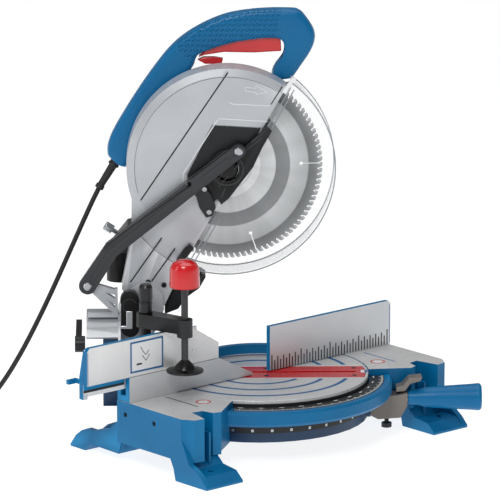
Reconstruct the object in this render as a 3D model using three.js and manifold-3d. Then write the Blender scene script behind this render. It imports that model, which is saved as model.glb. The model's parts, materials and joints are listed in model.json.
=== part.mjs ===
// Bench-top compound mitre saw, 254 mm blade: tables, fences, turntable, bevel
// joint, chopping head with guards and motor, clamp, and a mains lead.
// Millimetres, +Z up, +X to the operator's right along the fence, -Y to the operator.
import * as THREE from 'three';
import { mergeVertices } from 'three/addons/utils/BufferGeometryUtils.js';
import Module from 'manifold-3d';

const wasm = await Module();
wasm.setup();

// ---------------------------------------------------------------- driving dimensions
const GAP = 0.3; // air between separate pieces that touch
const CENTRE = [-39, 5]; // middle of the saw's footprint, seen from the turntable axis
const MITRE = 50; // turntable's rest angle to the operator's right, degrees
const TABLE_Z = 85; // height of the tables and turntable
const HALF_W = 232; // half the width across both tables
const FENCE_Y = -8; // front face of the fences
const FENCE_LOW = 119; // top of the low left fence
const FENCE_HIGH = 147; // top of the right fence
const DISC_R = 147; // turntable radius
const RING_R = 179; // outer radius of the ring that carries the mitre scale
const RING_TOP = 77;
const RING_BOTTOM = 57;
const BLADE_R = 127;
const BLADE_U = -42; // blade centre, forward of the turntable axis
const BLADE_Z = 369.5;
const GUARD_R = 133; // upper guard
const GUARD_X = 21; // half the width of the upper guard
const CLEAR_R = 144; // lower guard
const PIVOT = [-152, 189]; // chop pivot: forward, up
const ANCHOR = [-227, 214]; // lower pivot of the guard's link bar
const LINK_PIN = [-27, 395.5]; // upper end of the link bar
const DRUM_R = 86; // bevel drum
const DRUM_BACK = -229;
const DRUM_FRONT = -187;
const MOTOR = [-50, 383]; // motor axis: forward, up
const HANDLE_X = [28.5, 58.5]; // handle's sides
const CLAMP_POST = [-175, 25]; // x, y of the clamp's post
const CLAMP_SPINDLE = [-160, -36];
const CORD_R = 3.25;
const CORD_X = 43.5; // plane that the lead hangs in
const COIL_U = -470; // centre of the lead's coil
const COIL_MID_R = 36; // radius at the middle of the turns
const COIL_PITCH = 6.6; // from one turn of the lead to the next
const COIL_HALF = 2 * COIL_PITCH; // four turns wide
const COIL_HIGH = 2 * COIL_PITCH; // two turns high
const COIL_X = CORD_X - COIL_MID_R - 1.5 * COIL_PITCH; // the lead joins the outermost turn

// ---------------------------------------------------------------- solids
const rad = THREE.MathUtils.degToRad;
const vec = (x, y, z) => new THREE.Vector3(x, y, z);

function toSolid(geometry) {
  const bare = geometry.clone();
  bare.deleteAttribute('normal');
  bare.deleteAttribute('uv');
  const merged = mergeVertices(bare, 1e-4);
  const vertProperties = new Float32Array(merged.attributes.position.array);
  const triVerts = new Uint32Array(merged.index.array);
  return new wasm.Manifold(new wasm.Mesh({ numProp: 3, vertProperties, triVerts }));
}

function toGeometry(solid) {
  const mesh = solid.getMesh();
  const geometry = new THREE.BufferGeometry();
  geometry.setAttribute('position', new THREE.BufferAttribute(mesh.vertProperties, 3));
  geometry.setIndex(new THREE.BufferAttribute(mesh.triVerts, 1));
  geometry.computeVertexNormals();
  return geometry;
}

const join = (...pieces) => toGeometry(pieces.map(toSolid).reduce((a, b) => a.add(b)));
const cut = (body, ...tools) => toGeometry(tools.map(toSolid).reduce((a, b) => a.subtract(b), toSolid(body)));

const outline = (points) => new THREE.Shape(points.map(([a, b]) => new THREE.Vector2(a, b)));

function extrude(shape, depth, xAxis, yAxis, zAxis, start, curveSegments = 10) {
  const geometry = new THREE.ExtrudeGeometry(shape, { depth, bevelEnabled: false, curveSegments });
  const basis = new THREE.Matrix4().makeBasis(xAxis, yAxis, zAxis).setPosition(start);
  return geometry.applyMatrix4(basis);
}

// a plan (x, y) raised from z0 to z1
const upright = (shape, z0, z1, n) => extrude(shape, z1 - z0, vec(1, 0, 0), vec(0, 1, 0), vec(0, 0, 1),
  vec(0, 0, z0), n);
// a front view (x, z) given depth from y0 to y1
const across = (shape, y0, y1) => extrude(shape, y1 - y0, vec(1, 0, 0), vec(0, 0, 1), vec(0, -1, 0),
  vec(0, y1, 0));
// an end view (y, z) given width from x0 to x1
const endways = (shape, x0, x1) => extrude(shape, x1 - x0, vec(0, 1, 0), vec(0, 0, 1), vec(1, 0, 0),
  vec(x0, 0, 0));
// a side view (forward, up) given width from x0 to x1; forward is -Y
const sideways = (shape, x0, x1, n) => extrude(shape, x1 - x0, vec(0, -1, 0), vec(0, 0, 1), vec(-1, 0, 0),
  vec(x1, 0, 0), n);

function block(x0, x1, y0, y1, z0, z1) {
  const box = new THREE.BoxGeometry(x1 - x0, y1 - y0, z1 - z0);
  return box.translate((x0 + x1) / 2, (y0 + y1) / 2, (z0 + z1) / 2);
}

// a turned piece: profile of [radius, distance along the axis]
function turned(profile, axis, centre, segments = 24) {
  const lathe = new THREE.LatheGeometry(profile.map(([r, h]) => new THREE.Vector2(r, h)), segments);
  const turn = new THREE.Quaternion().setFromUnitVectors(vec(0, 1, 0), axis.clone().normalize());
  return lathe.applyQuaternion(turn).translate(...centre);
}

const disc = (r, h0, h1, axis, centre, segments = 20) =>
  turned([[0, h0], [r, h0], [r, h1], [0, h1]], axis, centre, segments);
const tubeRing = (r0, r1, h0, h1, axis, centre, segments) =>
  turned([[r0, h0], [r1, h0], [r1, h1], [r0, h1], [r0, h0]], axis, centre, segments);

const X = vec(1, 0, 0);
const Z = vec(0, 0, 1);
const BACK = vec(0, 1, 0);
const FORWARD = vec(0, -1, 0);
// a point of the side view at a given x
const at = ([forward, up], x = 0) => [x, -forward, up];

function rounded(x0, x1, y0, y1, r) {
  const shape = new THREE.Shape();
  shape.absarc(x1 - r, y0 + r, r, -Math.PI / 2, 0, false);
  shape.absarc(x1 - r, y1 - r, r, 0, Math.PI / 2, false);
  shape.absarc(x0 + r, y1 - r, r, Math.PI / 2, Math.PI, false);
  shape.absarc(x0 + r, y0 + r, r, Math.PI, Math.PI * 1.5, false);
  return shape;
}

// the outline of a bar with round ends of two radii
function linkShape([ax, ay], ra, [bx, by], rb) {
  const along = Math.atan2(by - ay, bx - ax);
  const lean = Math.asin((ra - rb) / Math.hypot(bx - ax, by - ay));
  const shape = new THREE.Shape();
  shape.absarc(ax, ay, ra, along + Math.PI / 2 - lean, along - Math.PI / 2 + lean, false);
  shape.absarc(bx, by, rb, along - Math.PI / 2 + lean, along + Math.PI / 2 - lean, false);
  shape.closePath();
  return shape;
}

// ---------------------------------------------------------------- the assembly's groups
const saw = new THREE.Group();
saw.position.set(-CENTRE[0], -CENTRE[1], 0);
const turn = new THREE.Group();
turn.rotation.z = rad(MITRE);
saw.add(turn);

const BLUE = 0x0a5f93;
const SILVER = 0xc9cbcc;
const BARE = 0xd8d9d8;
const STEEL = 0xa9adb0;
const BLACK = 0x1b1c1e;
const RED = 0xd3121f;
const DARK = 0x2a2c2e;
const SCALE_GREY = 0x3a3b3d;
const DARK_BLUE = 0x0b4a70;
const ENAMEL = 0x6b655f;
const CHROME = 0xd8dadb;
const CLEAR = 0xe4ecee;

function part(group, name, geometry, color, roughness, metalness) {
  const material = new THREE.MeshStandardMaterial({ color, roughness, metalness });
  const mesh = new THREE.Mesh(geometry, material);
  mesh.name = name;
  group.add(mesh);
  return mesh;
}

// the round head of a socket screw, standing up from its seat
function screwHead(name, group, centre, r, height) {
  const profile = [[0, 0], [r, 0], [r, height * 0.7], [r * 0.8, height], [r * 0.45, height],
    [r * 0.45, height * 0.5], [0, height * 0.5]];
  return part(group, name, turned(profile, Z, centre, 12), BLACK, 0.4, 0.9);
}

// ---------------------------------------------------------------- base
const ARM_SWEEP = 56; // half the angle that the control arm needs under the ring
const FOOT_IN = 170;
const FOOT_OUT = HALF_W;

// the x range of a piece that both sides have
const span = (side, inner, outer) => (side > 0 ? [inner, outer] : [-outer, -inner]);

function tableBlock(side) {
  const plan = [[HALF_W, 17], [HALF_W, -112], [222, -128], [207, -130], [200, -96], [184, -99], [180, -115],
    [169, -119], [130, -92], [60, -50], [60, 17]];
  return upright(outline(plan.map(([x, y]) => [side * x, y])), 28, TABLE_Z);
}

function frontFoot(side) {
  const plate = [[-90, 30], [-112, 28], [-124, 17], [-150, 14], [-163, 3], [-163, 0], [-101, 0],
    [-96, 20], [-90, 29]];
  const cheek = [[-80, 30], [-80, 60], [-112, 60], [-128, 27], [-140, 22], [-152, 14], [-163, 3], [-163, 0],
    [-101, 0], [-97, 16], [-90, 29]];
  return [endways(outline(plate), ...span(side, FOOT_IN, FOOT_OUT)),
    endways(outline(cheek), ...span(side, FOOT_OUT - 8, FOOT_OUT))];
}

function rearFoot(side) {
  const wall = [[10, 28], [10, 60], [19, 56], [38, 41], [70, 31], [84, 31], [96, 26], [108, 17], [119, 3],
    [119, 0],
    [88, 0], [79, 11], [19, 10], [13, 28]];
  const floor = [[10, 28], [10, 34], [70, 22], [84, 24], [96, 22], [108, 13], [117, 3], [117, 0], [88, 0],
    [79, 11],
    [19, 10]];
  return [endways(outline(wall), ...span(side, FOOT_OUT - 12, FOOT_OUT - 4)),
    endways(outline(floor), ...span(side, 176, FOOT_OUT - 5)), endways(outline(wall),
    ...span(side, 176, 183))];
}

const sweepShape = new THREE.Shape();
sweepShape.absarc(0, 0, 206, rad(-90 - ARM_SWEEP), rad(-90 + ARM_SWEEP), false);
sweepShape.lineTo(0, 0);

const ringBody = turned([[DISC_R + 1.5, RING_BOTTOM], [RING_R - 3, RING_BOTTOM], [RING_R, RING_BOTTOM + 4],
  [RING_R, RING_TOP - 3], [RING_R - 3, RING_TOP], [168.5, RING_TOP], [168.5, RING_TOP - 1.8],
  [DISC_R + 1.5, RING_TOP - 1.8], [DISC_R + 1.5, RING_BOTTOM]], Z, [0, 0, 0], 60);

const behindRing = block(-170, 170, 17, 200, 20, 90);
const screwRow = [0, -58]; // the two screw holes in each end of the tables
const baseTools = [
  disc(DISC_R + 1.5, 66, TABLE_Z + 5, Z, [0, 0, 0], 60),
  disc(DISC_R + 2, 20, 60, Z, [0, 0, 0], 60),
  disc(29, 50, 70, Z, [0, 0, 0], 24),
  upright(sweepShape, 20, RING_BOTTOM),
  behindRing,
  block(-HALF_W - 1, HALF_W + 1, FENCE_Y - GAP, 20, TABLE_Z - GAP, TABLE_Z + 5), // the fences' seat
];
for (const side of [-1, 1]) {
  for (const y of screwRow) {
    baseTools.push(disc(3.6, HALF_W - 20, HALF_W + 10, vec(side, 0, 0), [0, y, 68], 12));
  }
  for (const benchHole of [[203, -137], [204, 100]]) {
    baseTools.push(disc(4, -5, 40, Z, [side * benchHole[0], benchHole[1], 0], 12));
  }
  baseTools.push(block(...span(side, 150, 222), -84, 12, 20, 76));
}
const frontRing = cut(ringBody, block(-200, 200, 17, 200, 20, 90));
const table = join(tableBlock(-1), tableBlock(1), frontRing, disc(DISC_R + 3, 60, 66, Z, [0, 0, 0], 60));
const feet = [-1, 1].flatMap((side) => [...frontFoot(side), ...rearFoot(side)]);
const fins = [-1, 1].map((side) => block(...span(side, 189.5, 192.5), -122, -94, 14, 62));
part(saw, 'base_casting', cut(join(table, ...feet, ...fins), ...baseTools), BLUE, 0.45, 0.1);

const scaleSector = new THREE.Shape();
scaleSector.absarc(0, 0, 168, rad(-90 - 53), rad(-90 + 53), false);
scaleSector.absarc(0, 0, DISC_R + 2.5, rad(-90 + 53), rad(-90 - 53), true);
scaleSector.closePath();
part(saw, 'mitre_scale', upright(scaleSector, RING_TOP - 1.5, RING_TOP + 0.2, 24), SCALE_GREY, 0.5, 0.2);

// ---------------------------------------------------------------- fences
const leftFace = outline([[-231, TABLE_Z], [-231, FENCE_LOW], [-76, FENCE_LOW], [-17, 89], [-17, TABLE_Z]]);
const rightFace = outline([[13.5, TABLE_Z], [13.5, FENCE_HIGH], [229, FENCE_HIGH], [233, FENCE_HIGH - 4],
  [233, TABLE_Z]]);
const bridge = new THREE.Shape();
bridge.absarc(0, 0, 88, rad(2), rad(178), false);
bridge.absarc(0, 0, 79, rad(178), rad(2), true);
bridge.closePath();
const fencePieces = [
  across(leftFace, FENCE_Y, 0),
  across(rightFace, FENCE_Y, -1),
  upright(bridge, 90, 102.5, 28),
  block(-231, -78, -1, 17, TABLE_Z, 93),
  block(-231, -91, 10, 17, TABLE_Z, 112),
  block(78, 232, -2, 17, TABLE_Z, 93),
  block(78, 92, -2, 17, TABLE_Z, 105),
  block(-92, -78, -1, 10, TABLE_Z, 100),
  turned([[8, TABLE_Z], [14, TABLE_Z], [14, 112], [8, 112], [8, TABLE_Z]], Z, [...CLAMP_POST, 0], 24),
];
for (const x of [120, 205]) fencePieces.push(endways(outline([[-2, 92], [16, 92], [-2, 140]]), x, x + 5));
const fenceTools = [disc(DISC_R + 3, TABLE_Z, TABLE_Z + 1, Z, [0, 0, 0], 40),
  disc(7.8, 70, 130, Z, [...CLAMP_POST, 0], 24)];
part(saw, 'fence_casting', cut(join(...fencePieces), ...fenceTools), SILVER, 0.35, 0.7);
for (const [i, x] of [-215, -140, 100, 180].entries()) {
  screwHead(`fence_bolt_${i + 1}`, saw, [x, 4.5, 93 + GAP], 4.4, 5);
}

const slideFace = outline([[-302, 119.6], [-302, 166], [-298, 170.5], [-125, 170.5], [-77, 141],
  [-77, 119.6]]);
const carriage = endways(outline([[-2, 119.6], [-2, 168], [0.5, 168], [9, 130], [9, 103], [1, 103],
  [1, 119.6]]), -302, -110);
part(saw, 'sliding_fence', join(across(slideFace, FENCE_Y, -1),
  carriage, block(-302, -295, 0, 9, 100, 108)), BARE, 0.3, 0.8);
part(saw, 'fence_lock_lever', join(disc(3.4, 0, 14, BACK, [-298, 9.3, 122], 16),
  block(-312, -297, 18, 23.3, 119, 125)), BLUE, 0.45, 0.1);

// ---------------------------------------------------------------- clamp
const [postX, postY] = CLAMP_POST;
const [spindleX, spindleY] = CLAMP_SPINDLE;
part(saw, 'clamp_post', turned([[0, 66], [7.4, 66], [7.4, 192.4], [9, 192.4], [9, 206], [8, 206],
  [8, 209], [9, 209],
  [9, 226], [7, 230], [0, 230]], Z, [postX, postY, 0], 24), BLACK, 0.35, 0.9);
const armPlan = linkShape([postX, postY], 12.5, [spindleX, spindleY], 9.5);
part(saw, 'clamp_arm', cut(join(upright(armPlan, 173, 192),
  disc(10.5, 168, 192, Z, [spindleX, spindleY, 0], 24)),
  disc(7.7, 160, 200, Z, [postX, postY, 0], 24), disc(4.9, 160, 200, Z, [spindleX, spindleY, 0], 20)),
    DARK, 0.5, 0.5);
part(saw, 'clamp_spindle', disc(4.6, 137.3, 240, Z, [spindleX, spindleY, 0], 20), BLACK, 0.3, 0.9);
part(saw, 'clamp_knob', turned([[0, 240.3], [5.2, 240.3], [5.2, 235], [19, 235], [20.2, 237], [19.6, 260],
  [16, 267],
  [9, 271], [0, 272]], Z, [spindleX, spindleY, 0], 16), RED, 0.3, 0);
part(saw, 'clamp_foot', turned([[0, 121], [24.5, 121], [24.8, 123.5], [14.5, 125.5], [12, 130], [7, 135],
  [5, 137],
  [0, 137]], Z, [spindleX, spindleY, 0], 24), BLACK, 0.25, 0.5);

// ---------------------------------------------------------------- turntable
const INSERT_HALF = 29;
const insertPlan = (half, back, reach) => {
  const shape = new THREE.Shape();
  const angle = Math.asin(half / reach);
  shape.absarc(0, 0, reach, -Math.PI / 2 - angle, -Math.PI / 2 + angle, false);
  shape.lineTo(half, back);
  shape.lineTo(-half, back);
  return shape;
};
const grooves = [61, 91, 121].map((r) => tubeRing(r - 2, r + 2, TABLE_Z - 1.2, TABLE_Z + 1, Z, [0, 0, 0],
  40));
const grooveCut = cut(join(...grooves), block(-36, 36, -200, 200, 70, 90));
part(turn, 'turntable', cut(join(disc(DISC_R, 67, TABLE_Z, Z, [0, 0, 0], 60),
  disc(28, 56.3, 68, Z, [0, 0, 0], 24)),
  upright(insertPlan(INSERT_HALF + GAP, 68, 143.5), 80, 90), block(-8, 8, -136, 60, 70, 82), grooveCut,
  disc(6.5, 50, 90, Z, [0, 0, 0], 16)), BARE, 0.35, 0.8);
part(turn, 'kerf_insert', cut(upright(insertPlan(INSERT_HALF, 67.5, 143), 80 + GAP, TABLE_Z),
  block(-2.5, 5, -130, 55, 70, 90)),
  RED, 0.45, 0);

const beam = outline([[-100, 34], [-100, 56], [-152, 56], [-152, 79], [-195, 79], [-195, 58], [-166, 58],
  [-157, 34]]);
const core = cut(disc(DRUM_R - 4.5, -DRUM_FRONT + GAP, -DRUM_FRONT + 20, BACK, [0, 0, TABLE_Z], 36),
  block(-100, 100, 150, 260, -20, 60));
const frontMount = outline([[100, 30], [146, 26], [150, 26], [150, 53], [100, 53]]);
const pan = cut(disc(DISC_R, 28, 56, Z, [0, 0, 0], 40), disc(DISC_R - 8, 20, 50, Z, [0, 0, 0], 32));
part(turn, 'turntable_frame', cut(join(pan, disc(28, 30, 56, Z, [0, 0, 0], 24), sideways(beam, -35, 35), core,
  block(-35, 35, 60, 104, 34, 56), sideways(frontMount, -15, 15)), disc(6.5, 20, 60, Z, [0, 0, 0], 16)),
    DARK_BLUE, 0.5, 0.1);
part(turn, 'pivot_bolt', turned([[0, 24], [11, 24], [11, 30 - GAP], [6.2, 30 - GAP], [6.2, 79], [0, 79]],
  Z, [0, 0, 0], 16),
  STEEL, 0.35, 1);

const armShape = outline([[150 + GAP, 27], [160, 22], [190, 24], [199, 40], [199, 58], [186, 55],
  [150 + GAP, 53]]);
part(turn, 'control_arm', cut(sideways(armShape, -13, 13), disc(6.4, 185, 210, FORWARD, [0, 0, 49], 16)),
  ENAMEL, 0.55, 0.2);
part(turn, 'arm_foot_screw', turned([[0, 21], [3, 21], [3, 14], [7, 14], [7, 8], [0, 8]].reverse(),
  Z, [0, -172, 0.4], 12),
  BLACK, 0.5, 0.3);
part(turn, 'lock_rod', disc(6, 187, 215, FORWARD, [0, 0, 49], 16), STEEL, 0.3, 1);
part(turn, 'mitre_handle', turned([[6.4, 200], [9.5, 200], [10.5, 212], [13, 222], [14.5, 236],
  [17.5, 284], [18.5, 296],
  [16, 299], [0, 299], [0, 216], [6.4, 216], [6.4, 200]], FORWARD, [0, 0, 49], 20), BLUE, 0.45, 0.1);
const leverShape = outline([[184, 59], [196, 60], [203, 70], [217, 74], [219, 79], [201, 77.5], [192, 67],
  [184, 65]]);
part(turn, 'detent_lever', sideways(leverShape, -11, 11), ENAMEL, 0.5, 0.2);

// ---------------------------------------------------------------- bevel joint
const shellSector = new THREE.Shape();
shellSector.absarc(0, TABLE_Z, DRUM_R, rad(30), rad(132), false);
shellSector.absarc(0, TABLE_Z, DRUM_R - 4, rad(132), rad(30), true);
shellSector.closePath();
const plateSector = new THREE.Shape();
plateSector.absarc(0, TABLE_Z, DRUM_R, rad(30), rad(150), false);
plateSector.lineTo(0, TABLE_Z + 12);
plateSector.closePath();
const yokeView = outline([[-187, 118], [-187, 172], [-168, 209], [-158, 216], [-146, 216], [-128, 202],
  [-126, 180],
  [-138, 150], [-160, 118]]);
const neckRoom = disc(29.5, -GUARD_X - 0.5, GUARD_X + 0.5, X, at(PIVOT), 28);
const neckSweep = sideways(outline([[-215, 189], [-215, 320], [-90, 320], [-90, 143], [-157, 143],
  [-157, 189]]),
  -GUARD_X - 0.5, GUARD_X + 0.5);
part(turn, 'bevel_drum', cut(join(across(shellSector, -DRUM_FRONT, -DRUM_BACK),
  across(plateSector, 183.5, -DRUM_FRONT),
  sideways(yokeView, -33, 33)), neckRoom, neckSweep, disc(8.3, -40, 40, X, at(PIVOT), 20)),
    SILVER, 0.35, 0.7);
part(turn, 'chop_shaft', disc(8, -33.4, 36, X, at(PIVOT), 20), STEEL, 0.3, 1);
const anchorRib = (z0, z1) => linkShape(ANCHOR, 4, [-190.9, (z0 + z1) / 2], (z1 - z0) / 2);
part(turn, 'link_anchor', cut(join(...[[200, 207], [187, 194],
  [174, 181]].map(([a, b]) => sideways(anchorRib(a, b), -30.4, -20, 4)),
  disc(9, -30.4, -18, X, at(ANCHOR), 20), block(-30.4, -20, 187.3, 191, 169.2, 208),
    block(-30.4, -20, 187.3, 227, 169.2, 176)),
  disc(3.2, -31, -15, X, at(ANCHOR), 12)), SILVER, 0.35, 0.8);
part(turn, 'bevel_bracket', cut(join(sideways(rounded(-183, -159, 146, 200, 12), -46, -33.8),
  disc(12.5, -46, -33.8, X, at([-171.5, 196]), 24)),
  disc(8.5, -40, -20, X, at(PIVOT), 16)), BLACK, 0.5, 0.1);
part(turn, 'bevel_pointer', join(block(-48.8, -46.3, 168, 176, 158, 182),
  block(-48.8, -46.3, 168, 184, 158, 162)), CHROME, 0.15, 1);
part(turn, 'bevel_lock_lever', join(disc(11, 231.3, 245, BACK, [0, 0, TABLE_Z + 40], 20),
  across(linkShape([0, TABLE_Z + 40], 9, [62, TABLE_Z + 52], 6), 236, 244)), BLACK, 0.5, 0.1);

// ---------------------------------------------------------------- guard link
const BEND = [-196, 262];
const linkBar = join(sideways(linkShape(ANCHOR, 11.5, BEND, 10.5), -38, -31, 12),
  sideways(linkShape(BEND, 10.5, LINK_PIN, 9), -38, -31, 12));
const linkTools = [disc(3.4, -45, -25, X, at(ANCHOR), 12), disc(3.4, -45, -25, X, at(LINK_PIN), 12),
  disc(4, -45, -25, X, at([-93, 351]), 12)];
part(turn, 'link_bar', cut(linkBar, ...linkTools), BLACK, 0.45, 0.2);
function linkPin(name, place, length) {
  const profile = [[0, -length], [3, -length], [3, GAP], [5.5, GAP], [5.5, 2.5], [4, 3.6], [0, 3.6]];
  part(turn, name, turned(profile, vec(-1, 0, 0), at(place, -38), 16), STEEL, 0.3, 1);
}
linkPin('link_lower_pin', ANCHOR, 19);
linkPin('link_upper_pin', LINK_PIN, 6.6);

// ---------------------------------------------------------------- head
const HUB = [BLADE_U, BLADE_Z];
const onGuard = (angle, r = GUARD_R) => [BLADE_U + r * Math.cos(rad(angle)),
  BLADE_Z + r * Math.sin(rad(angle))];
const EDGE_TOP = 54.2; // where the guard's straight front edge meets its rim, degrees
const EDGE_BOTTOM = 246.6;
const NECK_TOP = 198.5;

const headShape = new THREE.Shape();
headShape.absarc(...HUB, GUARD_R, rad(EDGE_TOP), rad(NECK_TOP), false);
headShape.lineTo(-169, 274);
headShape.lineTo(-182, 206);
headShape.absarc(...PIVOT, 27, rad(160), rad(345), false);
headShape.lineTo(...onGuard(EDGE_BOTTOM));
headShape.closePath();
const recessShape = outline([[-62, 428], [5, 424], [-48, 328], [-70, 316], [-96, 346], [-96, 362]]);
const grooveLine = ([au, az], [bu, bz], w) => {
  const along = Math.atan2(bz - az, bu - au);
  const [du, dz] = [-Math.sin(along) * w / 2, Math.cos(along) * w / 2];
  return sideways(outline([[au + du, az + dz], [au - du, az - dz], [bu - du, bz - dz],
    [bu + du, bz + dz]]), -GUARD_X - 1, -GUARD_X + 1);
};
const headTools = [
  disc(BLADE_R + 2.5, -GUARD_X + 4, GUARD_X - 4, X, at(HUB), 48),
  disc(16, -30, 0, X, at(HUB), 24), disc(22, 0, 40, X, at(HUB), 24),
  sideways(recessShape, -GUARD_X - 1, -GUARD_X + 2.2),
  disc(8.3, -40, 40, X, at(PIVOT), 20),
  grooveLine([-40, 499], [-157, 325], 2), grooveLine([-128, 276], [-171, 214], 2),
    grooveLine([-110, 262], [-143, 215], 2),
];
part(turn, 'head_casting', cut(sideways(headShape, -GUARD_X, GUARD_X, 28), ...headTools), SILVER, 0.3, 0.7);
part(turn, 'recess_panel', cut(sideways(outline([[-61, 426.5], [2.5, 422.5], [-49, 330], [-70, 318],
  [-94.5, 346], [-94.5, 361]]),
  -GUARD_X + 0.4, -GUARD_X + 1.9), disc(16.4, -30, 0, X, at(HUB), 24)), DARK, 0.5, 0.1);
part(turn, 'guard_catch_plate', sideways(outline([[-86, 344], [-73, 348], [-62, 334], [-57, 318],
  [-62, 306], [-70, 304], [-79, 318]]),
  -29.5, -GUARD_X - GAP), BLACK, 0.45, 0.1);
part(turn, 'edge_clip', sideways(outline([[-99, 262], [-92, 268], [-86, 262], [-94, 251.5], [-103, 243],
  [-110, 246]]), -28, -GUARD_X - GAP), BLACK, 0.4, 0.1);

const chuteShape = outline([[-125.1, 170], [-125.1, 182], [-93.9, 247.4], [-84, 231], [-70, 221],
  [-79, 205], [-97, 192], [-107, 177]]);
part(turn, 'dust_chute', cut(sideways(chuteShape, -18, 18), disc(CLEAR_R + 4, -40, 40, X, at(HUB), 48),
  sideways(outline([[-118, 186], [-110, 200], [-90, 228], [-70, 238], [-84, 214], [-103, 196]]), -14, 14),
  disc(29, -40, 40, X, at(PIVOT), 24)), BLACK, 0.5, 0.1);
const PORT = [55, 184, 0]; // the port's axis, beside the neck
const duct = outline([[-202, 244], [-190, 262], [-174, 282], [-150, 288], [-146, 262], [-166, 244]]);
part(turn, 'dust_port', cut(join(disc(18.5, 200, 248, Z, PORT, 24), sideways(duct, GUARD_X + GAP, 62)),
  disc(15.5, 190, 242, Z, PORT, 24)), BLACK, 0.5, 0.1);
const STOP_SEAT = [-172.3, 267];
const stopProfile = [[0, 0], [3.2, 0], [3.2, 26], [6.2, 26], [6.2, 37], [5, 38], [0, 38]];
const stopAxis = vec(0, 12, 8).normalize();
part(turn, 'depth_stop_screw', turned(stopProfile, stopAxis, at(STOP_SEAT), 16), STEEL, 0.4, 0.9);

const housingRoom = disc(14, 20, 90, X, at(HUB), 24);
part(turn, 'gear_housing', cut(join(disc(53.5, GUARD_X + GAP, 60, X, at(HUB), 36),
  disc(50, 28.5, 66, X, at(MOTOR), 32),
  sideways(outline([[-100, 380], [-138, 408], [-148, 396], [-172, 352], [-160, 346], [-70, 340]]), 29, 57),
  sideways(outline([[-40, 400], [14, 466], [42, 470], [30, 430], [0, 370]]), 29, 57)), housingRoom),
    SILVER, 0.4, 0.6);
part(turn, 'motor_housing', turned([[0, 66.4], [47, 66.4], [48, 70], [48, 120], [46, 178], [0, 178]],
  X, at(MOTOR), 32), BLUE, 0.45, 0.1);
part(turn, 'motor_cap', turned([[0, 178.3], [45.5, 178.3], [45.5, 196], [38, 206], [0, 207]],
  X, at(MOTOR), 32), BLACK, 0.5, 0.1);
for (const [i, sign] of [1, -1].entries()) {
  part(turn, `brush_cap_${i + 1}`, disc(7, 48.3, 51, vec(0, 0, sign), [150, -MOTOR[0], MOTOR[1]], 16),
    BLACK, 0.5, 0.1);
}

// ---------------------------------------------------------------- blade
const TOOTH_COUNT = 48;
const rimPoints = [];
for (let i = 0; i < TOOTH_COUNT; i += 1) {
  for (const [turnPart, r] of [[0, BLADE_R], [0.15, BLADE_R - 8], [0.7, BLADE_R - 1.5]]) {
    const angle = ((i + turnPart) * 2 * Math.PI) / TOOTH_COUNT;
    rimPoints.push([r * Math.cos(angle), r * Math.sin(angle)]);
  }
}
const teeth = outline(rimPoints);
teeth.holes.push(new THREE.Path().absarc(0, 0, 8.4, 0, 2 * Math.PI, true));
const bladeBody = extrude(teeth, 2.2, vec(0, -1, 0), vec(0, 0, 1), vec(-1, 0, 0),
  vec(1.1, -BLADE_U, BLADE_Z));
part(turn, 'blade', bladeBody, STEEL, 0.25, 1);
part(turn, 'arbor_shaft', turned([[0, -7.8], [8, -7.8], [8, 1.5], [12, 1.5], [12, 60], [0, 60]],
  X, at(HUB), 24), STEEL, 0.3, 1);
part(turn, 'outer_flange', turned([[8.4, -1.5], [21, -1.5], [21, -4], [15, -7.5], [8.4, -7.5],
  [8.4, -1.5]].reverse(), X, at(HUB), 28), STEEL, 0.3, 1);
part(turn, 'inner_flange', turned([[12.3, 1.5], [21, 1.5], [21, 5], [12.3, 7], [12.3, 1.5]], X, at(HUB),
  28), STEEL, 0.3, 1);
part(turn, 'arbor_bolt', turned([[0, -14], [9, -14], [9, -8.2], [0, -8.2]], X, at(HUB), 6), BLACK, 0.4, 0.9);

// ---------------------------------------------------------------- lower guard
const CHORD = 18; // distance from the blade's axis to the clear guard's straight edge
const LEAN = -29.6; // direction of the middle of the clear guard
const chordHalf = (r) => Math.acos(CHORD / r) * (180 / Math.PI);
function segmentShape(r) {
  const shape = new THREE.Shape();
  shape.absarc(...HUB, r, rad(LEAN - chordHalf(r)), rad(LEAN + chordHalf(r)), false);
  shape.closePath();
  return shape;
}
const WALL = 2.2;
const shell = cut(sideways(segmentShape(CLEAR_R), -26.2, 26.2, 32),
  disc(CLEAR_R - WALL - 0.6, -24, 24, X, at(HUB), 56),
  disc(26.5, -40, 0, X, at(HUB), 24), disc(66, 0, 40, X, at(HUB), 32));
part(turn, 'lower_guard', shell, CLEAR, 0.08, 0);
const hubArms = outline([[-28, 391], [10, 427], [17, 421], [4, 398], [-8, 372], [-40, 330], [-50, 322],
  [-56, 332], [-62, 356]]);
part(turn, 'guard_hub', cut(join(sideways(hubArms, -30.8, -26.5), disc(25, -30.8, -22, X, at(HUB), 32)),
  disc(15.8, -40, -15, X, at(HUB), 24)), BLACK, 0.45, 0.1);
part(turn, 'guard_hub_cap', turned([[0, -31], [9, -31], [14, -28.5], [15, -26.4], [15, -19.9], [0, -19.9]],
  X, at(HUB), 24), BLACK, 0.4, 0.1);

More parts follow.
